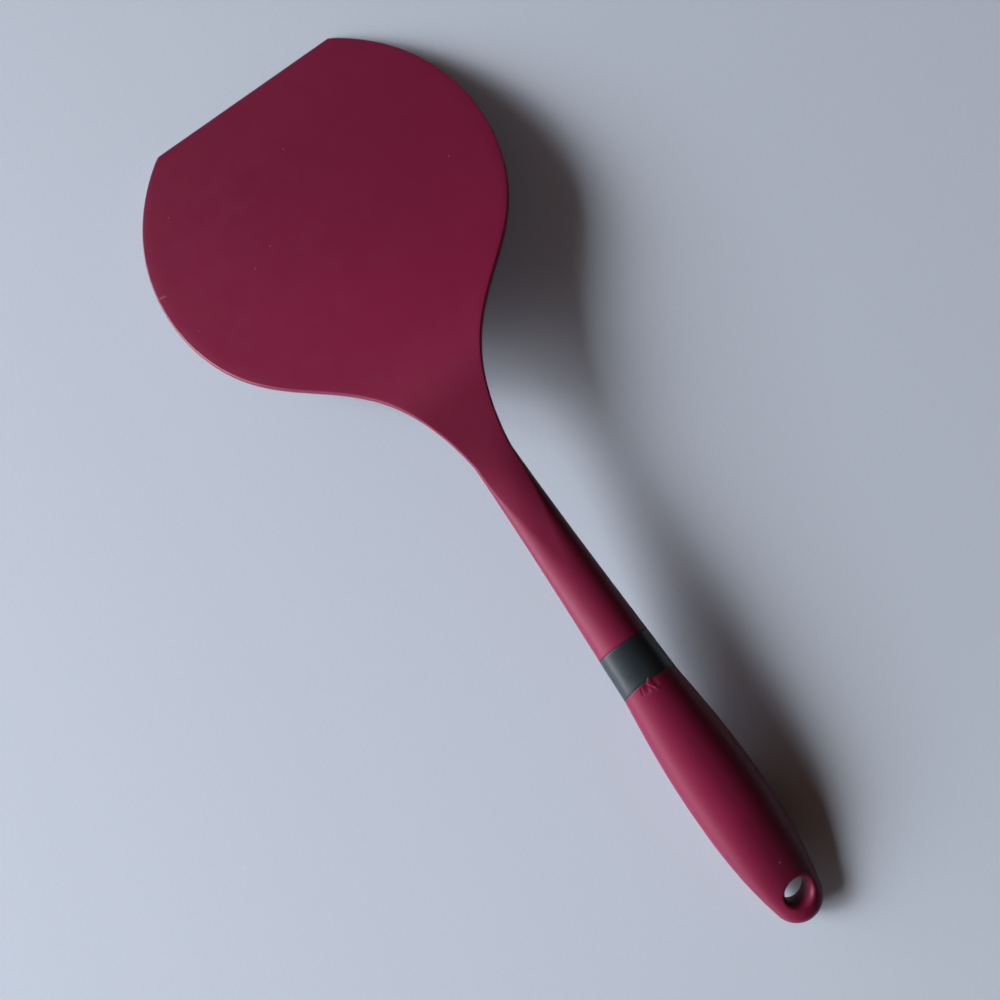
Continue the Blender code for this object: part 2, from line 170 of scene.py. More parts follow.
# The grip's stations: fine behind the seam and round the hole, coarser between them
FINE_FRONT_END = 0.0100      # behind the seam
FINE_FRONT_STEP = 0.0003
COARSE_START = 0.0102        # behind the seam
COARSE_END = 0.0100          # before the hole
COARSE_STEP = 0.0011
FINE_HOLE_START = 0.0096     # before the hole
FINE_HOLE_END = 0.0002       # before the round end
FINE_HOLE_STEP = 0.0005
END_STATIONS = 34
END_TIP = 0.02               # half width of the last one, as a share of the end's radius

# The opening that is left in the grip's faces for the hole's rim
OPENING_FRONT = 0.0086       # before the hole
OPENING_REAR = 0.0080        # behind the hole
OPENING_TURN = 0.66          # turn of the corner at its sides
RIM_APPROACH = (0.25, 0.5, 0.75)

# Colours: each pair is mixed in patches
BLADE_REDS = ((0.1315, 0.0057, 0.0285), (0.1375, 0.0063, 0.0301))
GRIP_REDS = ((0.132, 0.0050, 0.0282), (0.138, 0.0056, 0.0298))
COLLAR_GREYS = ((0.0118, 0.0184, 0.0226), (0.0136, 0.0208, 0.0254))
NYLON_CREAMS = ((0.50, 0.48, 0.42), (0.58, 0.56, 0.50))
FLOOR_PALES = ((0.464, 0.509, 0.579), (0.484, 0.529, 0.600))
DUST_COLOUR = (0.42, 0.25, 0.29)
BLADE_SPECK_COLOUR = (0.24, 0.07, 0.11)
BLADE_SCUFF_COLOUR = (0.23, 0.055, 0.10)
GRIP_SPECK_COLOUR = (0.30, 0.12, 0.16)
SHEEN_TINT = (1.0, 0.86, 0.92, 1.0)
BACKGROUND_COLOUR = (0.41, 0.445, 0.52)

# How the silicone varies over the tool, and the shade painted on the blade
DUST_STRENGTH = 0.35
PAINTED_SHADE_WAY = (0.82, -0.57, 0.0)     # way from the darker front of the blade's painted shade to its lighter rear
PAINTED_SHADE_BETWEEN = (-0.130, -0.048)   # places on that way
PAINTED_SHADE_LEVELS = (0.84, 1.06)
PAINTED_SHADE_WANDER = 0.012
POLISHED_BETWEEN = (-0.080, -0.045)  # X between the blade's own gloss and the shank's
POLISHED_GAIN = -0.14                # what it takes off the roughness
SEED_SHIFT = (1.0, 0.37, -0.61)      # way in which a seed moves the noise

# Light: a window lamp, a spot in the same place, and the room's fill and glow
WINDOW_AZIMUTH = radians(245.0)
WINDOW_ELEVATION = radians(26.8)
WINDOW_DISTANCE = 2.7
WINDOW_SIZE = (2.3, 1.25)
WINDOW_ENERGY = 124.0
WINDOW_COLOUR = (0.965, 1.0, 1.045)
SPOT_ENERGY = 290.0
SPOT_ANGLE = radians(21.0)
SPOT_RADIUS = 0.5
SPOT_AIM = (0.30, -0.12, 0.0)
FILL_STRENGTH = 0.06
FILL_COLOUR = (1.25, 0.68, 0.44)
FILL_FROM = (-0.25, -0.66, 0.71)
FILL_BETWEEN = (-0.9, 1.0)   # cosines of the angle from there
GLOW_STRENGTH = 16.0
GLOW_COLOUR = (0.96, 0.96, 1.08)
GLOW_FROM = (-0.423, -0.906, 0.0)
GLOW_BETWEEN = (0.1, 0.8)
GLOW_TOP = 0.24              # sine of the height at which the glow ends
FLOOR_RADIUS = 6.0
FLOOR_FADE = (0.32, 0.62)    # distances between which the floor turns into the background

# Camera, found from the photograph's outline
CAMERA_PLACE = (-0.027364, -0.004273, 0.383955)
CAMERA_VIEW = (0.04454, -0.00618, -0.99899)
CAMERA_UP = (-0.82012, 0.57078, -0.0401)
CAMERA_LENS = 37.44
CAMERA_CLIP = 0.01


def smooth(share):
    """The share with a soft start and end, held between 0 and 1."""
    share = np.clip(share, 0.0, 1.0)
    return share * share * (3.0 - 2.0 * share)


def mix(start, end, share):
    return start + (end - start) * share


# Centre line and placing

def centre_line(along):
    """The line before its rest tilt: x, z and the angle by which it has turned down."""
    start = BEND - BEND_RADIUS * BEND_ANGLE / 2
    turned = np.clip((along - start) / BEND_RADIUS, 0.0, BEND_ANGLE)
    after = np.maximum(along - start - BEND_RADIUS * BEND_ANGLE, 0.0)
    x = np.minimum(along, start) + BEND_RADIUS * np.sin(turned) + after * cos(BEND_ANGLE)
    z = -BEND_RADIUS * (1.0 - np.cos(turned)) - after * sin(BEND_ANGLE)
    return x, z, turned


def lean(along):
    """Slope of the sections near the seams, whose lower side is further back."""
    rise = smooth((along - (FRONT_SEAM - SEAM_LEAN_RUN)) / SEAM_LEAN_RUN)
    fall = smooth((along - REAR_SEAM) / SEAM_LEAN_RUN)
    return tan(SEAM_LEAN) * (rise - fall)


def steeper(along):
    """Slope that is added at the rear seam, about its highest point."""
    rise = smooth((along - FRONT_SEAM) / (REAR_SEAM - FRONT_SEAM))
    return REAR_SEAM_STEEPER * rise * (1.0 - smooth((along - REAR_SEAM) / SEAM_LEAN_RUN))


def place(along, across, up, twisted=1.0):
    """Points of the resting tool, from distances along, across and above its centre line.

    They take the given share of the handle's twist.
    """
    along, across, up = np.broadcast_arrays(along, across, up)
    x, z, slope = centre_line(along)
    twist = twisted * TWIST * smooth((along - TWIST_START) / (TOOL_END - TWIST_START))
    across, up = (across * np.cos(twist) + up * np.sin(twist),
                  up * np.cos(twist) - across * np.sin(twist))
    back = steeper(along) * (GRIP_FRONT_HEIGHT / 2 - up) - lean(along) * up
    x = x + back * np.cos(slope) + up * np.sin(slope)
    z = z + up * np.cos(slope) - back * np.sin(slope)
    return np.stack((x * cos(REST_TILT) - z * sin(REST_TILT) + REST_X, across,
                     x * sin(REST_TILT) + z * cos(REST_TILT) + REST_Z), axis=-1)


# Sections: each ring point is a share of the flat half width, of the corner and of the half height

def ring_shares(turn, flat_steps):
    """Shares round the ring, for a corner drawn at the given turns from 0 to a quarter circle."""
    flat = np.linspace(1.0, -1.0, flat_steps + 1)[1:-1]
    ones, zeros = np.ones_like(turn), np.zeros_like(flat)
    upper_halves = (np.concatenate((ones, flat, -ones)),
                    np.concatenate((np.cos(turn), zeros, -np.cos(turn[::-1]))),
                    np.concatenate((np.sin(turn), zeros + 1.0, np.sin(turn[::-1]))))
    return [np.concatenate((half, -half[1:-1])) for half in upper_halves]


def loft_points(stations, shares, twisted=1.0):
    """Ring points (station, point, xyz) through the stations.

    A station is its place along, half width, half height, corner and height of its middle.
    """
    columns = np.asarray(stations, float).T
    along, width, height, corner, centre = (column[:, None] for column in columns)
    flat_share, corner_share, up_share = shares
    across = (width - corner) * flat_share + corner * corner_share
    crowned = np.clip((along - CROWN_START) / (CROWN_END - CROWN_START), 0.0, 1.0)
    dome = CROWN * np.sin(pi * crowned)**2
    up = centre + height * up_share * (1.0 - dome * (across / width)**2)
    return place(along, across, up, twisted)


class Surface:
    """Points and faces of one piece, gathered ring by ring."""

    def __init__(self):
        self.points = []
        self.faces = []

    def add(self, points):
        first = len(self.points)
        self.points.extend(points.reshape(-1, 3).tolist())
        return np.arange(first, len(self.points)).reshape(points.shape[:-1])

    def bridge(self, ring, following):
        beside, behind = np.roll(ring, -1), np.roll(following, -1)
        self.faces.extend(zip(ring.tolist(), beside.tolist(), behind.tolist(),
                              following.tolist()))

    def skin(self, rings):
        for ring, following in zip(rings, rings[1:]):
            self.bridge(ring, following)

    def cap(self, ring):
        self.faces.append(tuple(ring.tolist()))

    def make(self, name, material):
        mesh = bpy.data.meshes.new(name)
        mesh.from_pydata(self.points, [], self.faces)
        shape = bmesh.new()
        shape.from_mesh(mesh)
        loose = [vertex for vertex in shape.verts if not vertex.link_faces]
        bmesh.ops.delete(shape, geom=loose, context="VERTS")
        bmesh.ops.recalc_face_normals(shape, faces=shape.faces)
        shape.to_mesh(mesh)
        shape.free()
        mesh.materials.append(material)
        mesh.shade_smooth()
        mesh.set_sharp_from_angle(angle=SHARP_ANGLE)
        piece = bpy.data.objects.new(name, mesh)
        scene.collection.objects.link(piece)
        return piece


def rounded_end(stations, radius, first=True, narrows=True):
    """Replaces one end station with a few that round its edge off, in height and in width."""
    stations = [tuple(station) for station in stations]
    if not first:
        stations.reverse()
    along, width, height, corner, centre = stations[0]
    inward = 1.0 if first else -1.0
    rounded = []
    for step in range(ROUND_STEPS + 1):
        turn = pi / 2 * step / ROUND_STEPS
        inset = radius * (1.0 - sin(turn))
        beside = inset if narrows else 0.0
        rounded.append((along + inward * radius * (1.0 - cos(turn)), width - beside,
                        height - inset, max(corner - beside, LEAST_CORNER), centre))
    end = rounded[-1][0]
    kept = [station for station in stations[1:] if (station[0] - end) * inward > LEAST_GAP]
    stations = rounded + kept
    if not first:
        stations.reverse()
    return stations


def straight(places, width, height, corner):
    """Stations of one and the same section at several places."""
    return [(along, width, height, corner, 0.0) for along in places]


# Head

def flare_curve(t):
    """Cubic outline from the round blade to the neck: along, half width and its angle."""
    t = t[:, None]
    s = 1.0 - t
    spoke = np.array([sin(FLARE_START_SLOPE), cos(FLARE_START_SLOPE)])
    start = np.array([EDGE_TO_CENTRE, 0.0]) + BLADE_RADIUS * spoke
    end = np.array([NECK, NECK_WIDTH / 2])
    start_way = np.array([cos(FLARE_START_SLOPE), -sin(FLARE_START_SLOPE)])
    end_way = np.array([cos(FLARE_END_SLOPE), -sin(FLARE_END_SLOPE)])
    first = start + FLARE_BLADE_HANDLE * start_way
    second = end - FLARE_NECK_HANDLE * end_way
    point = s**3 * start + 3 * s * s * t * first + 3 * s * t * t * second + t**3 * end
    heading = s * s * (first - start) + 2 * s * t * (second - first) + t * t * (end - second)
    return point[:, 0], point[:, 1], np.arctan2(-heading[:, 1], heading[:, 0])


def outline(blade_steps, flare_steps, shank_steps):
    """The head seen from above: along, half width and the outline's angle."""
    first = -asin(EDGE_TO_CENTRE / BLADE_RADIUS)
    angle = np.linspace(first, FLARE_START_SLOPE, blade_steps + 1)
    blade = EDGE_TO_CENTRE + BLADE_RADIUS * np.sin(angle), BLADE_RADIUS * np.cos(angle), angle
    flare = flare_curve(np.linspace(0.0, 1.0, flare_steps + 1)[1:])
    share = np.linspace(0.0, 1.0, shank_steps + 1)[1:]
    shank = (mix(NECK, FRONT_SEAM - SEAM_SHOWN / 2, share),
             mix(NECK_WIDTH, SHANK_WIDTH, share**SHANK_TAPER) / 2, np.zeros_like(share))
    return [np.concatenate(column) for column in zip(blade, flare, shank)]


def shank_share(along):
    """0 in the blade, then in step with the way from the bend to the front seam."""
    return np.clip((along - BEND) / (FRONT_SEAM - BEND), 0.0, 1.0)


def round_share(along):
    """0 where the section is a plate, 1 where it is an oval."""
    return smooth((along - NECK - ROUNDING_AFTER_NECK) / ROUNDING_LENGTH)


def head_height(along):
    """Half height of the head."""
    gain = BLADE_THICKNESS - LEADING_EDGE_THICKNESS
    bevel = LEADING_EDGE_THICKNESS + gain * along / LEADING_BEVEL
    plate = np.clip(bevel, LEADING_EDGE_THICKNESS, BLADE_THICKNESS)
    return mix(plate, SHANK_HEIGHT, shank_share(along)**HEIGHT_TAPER) / 2


def head_stations():
    along, width, angle = outline(*HEAD_STEPS)
    height = head_height(along)
    rim = np.minimum(BLADE_EDGE_ROUND / np.cos(angle), FULL_CORNER * width)
    corner = mix(rim, FULL_CORNER * width, round_share(along))
    centre = np.maximum(BLADE_THICKNESS / 2 - height, 0.0)
    stations = rounded_end(list(zip(along, width, height, corner, centre)), LEADING_ROUND,
                           narrows=False)
    return rounded_end(stations, SEAM_ROUND, first=False)


def head_pocket_stations():
    """The space for the stiff core: the outline moved inward, with the core's clearance."""
    stations = []
    shank_height = SHANK_HEIGHT / 2 - SHANK_WALL - CLEARANCE
    for along, width, angle in zip(*outline(*HEAD_POCKET_STEPS)):
        neck_share = smooth((along - EDGE_TO_CENTRE) / (NECK - EDGE_TO_CENTRE))
        inset = mix(BLADE_RIM, SHANK_WALL + CLEARANCE, neck_share)
        along, width = along - inset * sin(angle), width - inset * cos(angle)
        if along < CORE_FRONT:
            continue
        height = mix(CORE_PLATE / 2, shank_height, shank_share(along))
        full = FULL_CORNER * width
        corner = mix(min(height, full), full, round_share(along))
        stations.append((along, width + CLEARANCE, height + CLEARANCE, corner + CLEARANCE, 0.0))
    front = stations[0]
    narrower = front[1] - (front[0] - CORE_FRONT) * (EDGE_TO_CENTRE - CORE_FRONT) / front[1]
    stations.insert(0, (CORE_FRONT - CLEARANCE, narrower, *front[2:]))
    return stations


def make_head(material):
    shares = ring_shares(np.linspace(0.0, pi / 2, HEAD_TURNS), HEAD_FLAT_STEPS)
    surface = Surface()
    outer = surface.add(loft_points(head_stations(), shares))
    inner = surface.add(loft_points(head_pocket_stations(), shares))
    surface.skin(outer)
    surface.skin(inner)
    surface.cap(outer[0])
    surface.cap(inner[0])
    surface.bridge(outer[-1], inner[-1])
    return surface.make("head_moulding", material)


# Collar

def make_collar(material):
    start, end = FRONT_SEAM + SEAM_SHOWN / 2, REAR_SEAM - SEAM_SHOWN / 2
    share = np.linspace(0.0, 1.0, COLLAR_STATIONS)
    width = mix(SHANK_WIDTH, GRIP_FRONT_WIDTH, share) / 2
    height = mix(SHANK_HEIGHT, GRIP_FRONT_HEIGHT, share) / 2
    stations = list(zip(mix(start, end, share), width, height, FULL_CORNER * width,
                        np.zeros_like(share)))
    stations = rounded_end(rounded_end(stations, SEAM_ROUND), SEAM_ROUND, first=False)
    bore_end = end - CORE_RECESS
    recess_width = GRIP_FRONT_WIDTH / 2 - GRIP_WALL
    recess_height = GRIP_FRONT_HEIGHT / 2 - GRIP_WALL
    inside = straight(np.linspace(start, bore_end, COLLAR_BORE_STATIONS),
                      TANG_WIDTH / 2 + CLEARANCE, TANG_HEIGHT / 2 + CLEARANCE,
                      TANG_CORNER + CLEARANCE)
    inside += straight((bore_end, end), recess_width, recess_height, FULL_CORNER * recess_width)
    shares = ring_shares(np.linspace(0.0, pi / 2, COLLAR_TURNS), COLLAR_FLAT_STEPS)
    surface = Surface()
    outer = surface.add(loft_points(stations, shares))
    inner = surface.add(loft_points(inside, shares))
    surface.skin(outer)
    surface.skin(inner)
    surface.bridge(outer[0], inner[0])
    surface.bridge(outer[-1], inner[-1])
    return surface.make("collar_band", material)


# Grip

def grip_cap():
    """The round end seen from above: its centre, and where it starts."""
    centre = TOOL_END - GRIP_END_RADIUS
    return centre, centre + GRIP_END_RADIUS * sin(GRIP_END_SLOPE)


def grip_width(along):
    """Half width of the grip."""
    along = np.asarray(along, float)
    swell = REAR_SEAM + GRIP_WIDEST
    end_centre, cap_start = grip_cap()
    cap_width = GRIP_END_RADIUS * cos(GRIP_END_SLOPE)
    risen = np.sin(pi / 2 * np.minimum(along - REAR_SEAM, GRIP_WIDEST) / GRIP_WIDEST)
    rise = mix(GRIP_FRONT_WIDTH, GRIP_WIDTH, risen) / 2
    share = np.clip((along - swell) / (cap_start - swell), 0.0, 1.0)
    power = tan(GRIP_END_SLOPE) * (cap_start - swell) / (GRIP_WIDTH / 2 - cap_width)
    taper = mix(GRIP_WIDTH / 2, cap_width, share**power)
    cap = np.sqrt(np.maximum(GRIP_END_RADIUS**2 - (along - end_centre)**2, 0.0))
    return np.where(along <= swell, rise, np.where(along <= cap_start, taper, cap))


def fall_share(along):
    """0 up to the widest place, then smoothly to 1 at the end."""
    swell = REAR_SEAM + GRIP_WIDEST
    return smooth((along - swell) / (TOOL_END - swell))


def grip_corner_share(along):
    """Share of the half width that the corner of the grip's section takes."""
    return mix(FULL_CORNER, GRIP_END_CORNER, fall_share(along))


def grip_size(along):
    """Half width, half height and corner of the grip's section."""
    width = grip_width(along)
    rise = np.sin(pi / 2 * np.minimum((along - REAR_SEAM) / GRIP_WIDEST, 1.0))
    height = mix(mix(GRIP_FRONT_HEIGHT, GRIP_HEIGHT, rise), GRIP_END_HEIGHT, fall_share(along)) / 2
    into = np.clip(along - (TOOL_END - GRIP_NOSE), 0.0, GRIP_NOSE) / GRIP_NOSE
    return width, height * np.sqrt(1.0 - into**2), grip_corner_share(along) * width


def grip_top(along, across):
    """Height of the grip's upper face above its centre line."""
    width, height, corner = grip_size(along)
    beyond = np.clip((np.abs(across) - (width - corner)) / corner, 0.0, 1.0)
    return height * np.sqrt(1.0 - beyond**2)


def grip_places():
    start = REAR_SEAM + SEAM_SHOWN / 2
    end_centre, cap_start = grip_cap()
    turns = np.linspace(GRIP_END_SLOPE, acos(END_TIP), END_STATIONS)
    return np.concatenate((
        np.arange(start, start + FINE_FRONT_END, FINE_FRONT_STEP),
        np.arange(start + COARSE_START, HOLE - COARSE_END, COARSE_STEP),
        np.arange(HOLE - FINE_HOLE_START, cap_start - FINE_HOLE_END, FINE_HOLE_STEP),
        end_centre + GRIP_END_RADIUS * np.sin(turns)))


def torn_height(along, across):
    """What the torn flap adds to the height of the grip's upper face."""
    beyond, beside = (along - REAR_SEAM) * MM_PER_M, across * MM_PER_M
    height = np.zeros(np.broadcast(along, across).shape)
    for (a0, c0), (a1, c1), half_width, rise in TORN:
        run, side = a1 - a0, c1 - c0
        share = ((beyond - a0) * run + (beside - c0) * side) / (run**2 + side**2)
        share = np.clip(share, 0.0, 1.0)
        apart = np.hypot(beyond - mix(a0, a1, share), beside - mix(c0, c1, share))
        height = height + rise * np.exp(-(apart / half_width)**2)
    return height / MM_PER_M


def lip_share(along, across):
    """How far a point follows the torn lip, from 0 to 1."""
    beside = np.clip(1.0 - np.abs(across - LIP_ACROSS) / LIP_HALF_WIDTH, 0.0, 1.0)
    return smooth(beside) * smooth(1.0 - (along - REAR_SEAM) / LIP_RUN)


def grip_skin(shares):
    """The grip's outside: places along of its stations, places across and points of its rings."""
    places = grip_places()
    stations = rounded_end(list(zip(places, *grip_size(places), np.zeros_like(places))),
                           SEAM_ROUND)
    along, width, height, corner = np.array(stations).T[:4, :, None]
    across = (width - corner) * shares[0] + corner * shares[1]
    on_top = shares[2] > TOP_SHARE
    lip = lip_share(along, across) * on_top
    torn = torn_height(along, across) * on_top * smooth((along - REAR_SEAM) / TORN_START)
    up = height * shares[2] + torn + LIP_LIFT * lip
    return along[:, 0], across, place(along - LIP_REACH * lip, across, up)


def block_edge(rows, columns):
    """Rows and columns of the points round a block of the grid."""
    first, last = rows
    edge = [(first, column) for column in columns]
    edge += [(row, columns[-1]) for row in range(first + 1, last + 1)]
    edge += [(last, column) for column in columns[-2::-1]]
    edge += [(row, columns[0]) for row in range(last - 1, first, -1)]
    return np.array(edge).T


def skin_round_blocks(surface, grid, rows, blocks):
    """Faces of a grid of rings, but for the cells of the given blocks of columns."""
    covered = [set(columns.tolist()) for columns in blocks]
    count = grid.shape[1]
    for row, (ring, following) in enumerate(zip(grid, grid[1:])):
        open_row = rows[0] <= row < rows[1]
        for j in range(count):
            k = (j + 1) % count
            if not (open_row and any({j, k} <= columns for columns in covered)):
                surface.faces.append((int(ring[j]), int(ring[k]),
                                      int(following[k]), int(following[j])))


def hole_rim(surface, edge, along, across, sign):
    """Closes the opening left in one face with a rolled rim and returns its innermost ring."""
    angle = np.arctan2(across - HOLE_ACROSS, along - HOLE)
    rings = [edge]
    for share in RIM_APPROACH:
        radius = HOLE_RADIUS + RIM_ROLL
        a = mix(along, HOLE + radius * np.cos(angle), share)
        c = mix(across, HOLE_ACROSS + radius * np.sin(angle), share)
        rings.append(surface.add(place(a, c, sign * grip_top(a, c))))
    for step in range(RIM_STEPS + 1):
        turn = pi / 2 * step / RIM_STEPS
        radius = HOLE_RADIUS + RIM_ROLL * (1.0 - sin(turn))
        a, c = HOLE + radius * np.cos(angle), HOLE_ACROSS + radius * np.sin(angle)
        up = sign * (grip_top(a, c) - RIM_DEPTH * (1.0 - cos(turn)))
        rings.append(surface.add(place(a, c, up)))
    surface.skin(rings)
    return rings[-1]


def grip_pocket(shares):
    """The space for the handle core, open towards the collar, and without twist as the core."""
    places = np.linspace(REAR_SEAM + SEAM_SHOWN / 2, CORE_END, GRIP_POCKET_STATIONS)
    width, height = (size - GRIP_WALL for size in grip_size(places)[:2])
    corner = grip_corner_share(places) * width
    places[-1] = CORE_END + CLEARANCE
    stations = list(zip(places, width, height, corner, np.zeros_like(width)))
    return loft_points(stations, shares, twisted=0.0)


def make_grip(material):
    turn = np.concatenate((np.linspace(0.0, GRIP_TURN_SPLIT, GRIP_TURNS)[:-1],
                           np.linspace(GRIP_TURN_SPLIT, pi / 2, GRIP_TURNS)))
    shares = ring_shares(turn, GRIP_FLAT_STEPS)
    along, across, points = grip_skin(shares)
    surface = Surface()
    outer = surface.add(points)

    # The opening round the hole, as a block of the grid in the upper and in the lower face
    rows = np.searchsorted(along, (HOLE - OPENING_FRONT, HOLE + OPENING_REAR)).tolist()
    side = int(np.searchsorted(turn, OPENING_TURN))
    upper = np.arange(side, 2 * (len(turn) - 1) + GRIP_FLAT_STEPS - side + 1)
    lower = (-upper) % len(shares[0])
    skin_round_blocks(surface, outer, rows, (upper, lower))
    rims = []
    for columns, sign in ((upper, 1.0), (lower, -1.0)):
        row, column = block_edge(rows, columns)
        rims.append(hole_rim(surface, outer[row, column], along[row], across[row, column], sign))
    top, bottom = (np.array(surface.points)[rim] for rim in rims)
    throat = [surface.add(mix(top, bottom, share))
              for share in np.linspace(0.0, 1.0, THROAT_STEPS)[1:-1]]
    surface.skin([rims[0], *throat, rims[1]])

    inner = surface.add(grip_pocket(shares))
    surface.skin(inner)
    surface.cap(inner[-1])
    surface.bridge(outer[0], inner[0])
    surface.cap(outer[-1])
    return surface.make("grip_moulding", material)


# Nodes of the materials and of the world

def new_material(name):
    material = bpy.data.materials.new(name)
    material.use_nodes = True
    return material, material.node_tree, material.node_tree.nodes["Principled BSDF"]


def own_place(tree):
    """Place on the tool, in its own coordinates."""
    return tree.nodes.new("ShaderNodeTexCoord").outputs["Object"]


def combine(tree, operation, first, second):
    """The sum, product or lesser of two values."""
    node = tree.nodes.new("ShaderNodeMath")
    node.operation = operation
    tree.links.new(first, node.inputs[0])
    tree.links.new(second, node.inputs[1])
    return node.outputs["Value"]


def measure(tree, operation, vector, other=None):
    """A vector's length, its distance from another or its product with it."""
    node = tree.nodes.new("ShaderNodeVectorMath")
    node.operation = operation
    tree.links.new(vector, node.inputs[0])
    if other is not None:
        node.inputs[1].default_value = other
    return node.outputs["Value"]


def ramp(tree, value, between, to=(0.0, 1.0)):
    """The value, mapped from one pair of ends to another and held there."""
    node = tree.nodes.new("ShaderNodeMapRange")
    node.inputs["From Min"].default_value, node.inputs["From Max"].default_value = between
    node.inputs["To Min"].default_value, node.inputs["To Max"].default_value = to
    tree.links.new(value, node.inputs["Value"])
    return node.outputs["Result"]


def noise(tree, scale, detail, seed=0.0):
    shift = tree.nodes.new("ShaderNodeMapping")
    shift.inputs["Location"].default_value = [seed * part for part in SEED_SHIFT]
    texture = tree.nodes.new("ShaderNodeTexNoise")
    texture.inputs["Scale"].default_value = scale
    texture.inputs["Detail"].default_value = detail
    tree.links.new(own_place(tree), shift.inputs["Vector"])
    tree.links.new(shift.outputs["Vector"], texture.inputs["Vector"])
    return texture.outputs["Fac"]


def uneven(tree, scale, detail, seed=0.0, between=(0.3, 0.7), to=(0.0, 1.0)):
    """A value that wanders over the tool."""
    return ramp(tree, noise(tree, scale, detail, seed), between, to)


def blend_colours(tree, factor, first, second):
    """Mix of two colours, each a tuple or an output."""
    node = tree.nodes.new("ShaderNodeMix")
    node.data_type = "RGBA"
    tree.links.new(factor, node.inputs["Factor"])
    for socket, colour in ((node.inputs[6], first), (node.inputs[7], second)):
        if isinstance(colour, tuple):
            socket.default_value = (*colour, 1.0)
        else:
            tree.links.new(colour, socket)
    return node.outputs[2]


def bump(tree, height, strength, distance, normal=None):
    node = tree.nodes.new("ShaderNodeBump")
    node.inputs["Strength"].default_value = strength
    node.inputs["Distance"].default_value = distance
    tree.links.new(height, node.inputs["Height"])
    if normal is not None:
        tree.links.new(normal, node.inputs["Normal"])
    return node.outputs["Normal"]


def mix_shaders(tree, factor, first, second):
    node = tree.nodes.new("ShaderNodeMixShader")
    for value, socket in zip((factor, first, second), node.inputs):
        tree.links.new(value, socket)
    return node.outputs["Shader"]


def connect(tree, shader, colour, rough, normal):
    tree.links.new(colour, shader.inputs["Base Color"])
    tree.links.new(rough, shader.inputs["Roughness"])
    tree.links.new(normal, shader.inputs["Normal"])


# Materials

def specks(tree, scale, size, share, softness=0.01):
    """Mask of sparse specks: size is a share of their cell, share the part of the cells used."""
    cells = tree.nodes.new("ShaderNodeTexVoronoi")
    cells.inputs["Scale"].default_value = scale
    tree.links.new(own_place(tree), cells.inputs["Vector"])
    split = tree.nodes.new("ShaderNodeSeparateColor")
    tree.links.new(cells.outputs["Color"], split.inputs["Color"])
    near = ramp(tree, cells.outputs["Distance"], (size * DUST_CORE, size), (1.0, 0.0))
    chosen = ramp(tree, split.outputs["Red"], (share, share + softness), (1.0, 0.0))
    return combine(tree, "MULTIPLY", near, chosen)


def marked(tree, colour, points, radius, mark_colour):
    """Adds small round marks at the given points."""
    own = own_place(tree)
    nearest = None
    for point in points:
        apart = measure(tree, "DISTANCE", own, tuple(point))
        nearest = apart if nearest is None else combine(tree, "MINIMUM", nearest, apart)
    mask = ramp(tree, nearest, (radius * MARK_CORE, radius), (1.0, 0.0))
    return blend_colours(tree, mask, colour, mark_colour)


def painted_front_shade(tree, colour):
    """Painted shade: darkens the blade's colour towards its front, where the light falls off."""
    behind = measure(tree, "DOT_PRODUCT", own_place(tree), PAINTED_SHADE_WAY)
    wander = uneven(tree, scale=14.0, detail=2.0, seed=4.0, between=(0.0, 1.0),
                    to=(-PAINTED_SHADE_WANDER, PAINTED_SHADE_WANDER))
    fade = ramp(tree, combine(tree, "ADD", behind, wander), PAINTED_SHADE_BETWEEN, PAINTED_SHADE_LEVELS)
    fade.node.interpolation_type = "SMOOTHSTEP"
    darker = tree.nodes.new("ShaderNodeVectorMath")
    darker.operation = "SCALE"
    tree.links.new(colour, darker.inputs[0])
    tree.links.new(fade, darker.inputs["Scale"])
    return darker.outputs["Vector"]


def polished_blade(tree, rough):
    """The blade, smoothed by use, is a little less rough than the shank behind it."""
    split = tree.nodes.new("ShaderNodeSeparateXYZ")
    tree.links.new(own_place(tree), split.inputs["Vector"])
    smoother = ramp(tree, split.outputs["X"], POLISHED_BETWEEN, (POLISHED_GAIN, 0.0))
    return combine(tree, "ADD", rough, smoother)


def silicone(name, colours, marks, specular, blade=False):
    """Matte wine-red silicone: fine moulded texture, uneven gloss, and the dust that it holds.

    Each kind of mark is a row of points, a radius and a colour.
    """
    material, tree, shader = new_material(name)
    patches = uneven(tree, scale=28.0, detail=3.0, between=(0.35, 0.65))
    colour = blend_colours(tree, patches, *colours)
    dust = ramp(tree, specks(tree, scale=75.0, size=0.016, share=0.16), (0.0, 1.0),
                (0.0, DUST_STRENGTH))
    colour = blend_colours(tree, dust, colour, DUST_COLOUR)
    rough = uneven(tree, scale=190.0, detail=4.0, seed=3.1, to=(0.44, 0.50))
    grain = bump(tree, noise(tree, scale=2600.0, detail=3.0, seed=1.7),
                 strength=0.22, distance=0.00006)
    waves = bump(tree, noise(tree, scale=95.0, detail=2.0, seed=5.3),
                 strength=0.04, distance=0.00030, normal=grain)
    if blade:
        # painted shade: the blade's colour is darker towards its front
        colour = painted_front_shade(tree, colour)
        rough = polished_blade(tree, rough)
    for points, radius, mark_colour in marks:
        colour = marked(tree, colour, points, radius, mark_colour)
    connect(tree, shader, colour, rough, waves)
    shader.inputs["IOR"].default_value = 1.41
    shader.inputs["Specular IOR Level"].default_value = specular
    shader.inputs["Sheen Weight"].default_value = 0.05
    shader.inputs["Sheen Roughness"].default_value = 0.35
    shader.inputs["Sheen Tint"].default_value = SHEEN_TINT
    return material


def blade_points(places):
    """Points on the blade's upper face."""
    return [place(along, across, BLADE_THICKNESS / 2) for along, across in places]


def blade_silicone():
    marks = ((blade_points(BLADE_SPECKS), BLADE_SPECK_RADIUS, BLADE_SPECK_COLOUR),
             (blade_points(BLADE_SCUFF), BLADE_SCUFF_RADIUS, BLADE_SCUFF_COLOUR))
    return silicone("wine_red_silicone_blade", BLADE_REDS, marks, specular=0.46, blade=True)


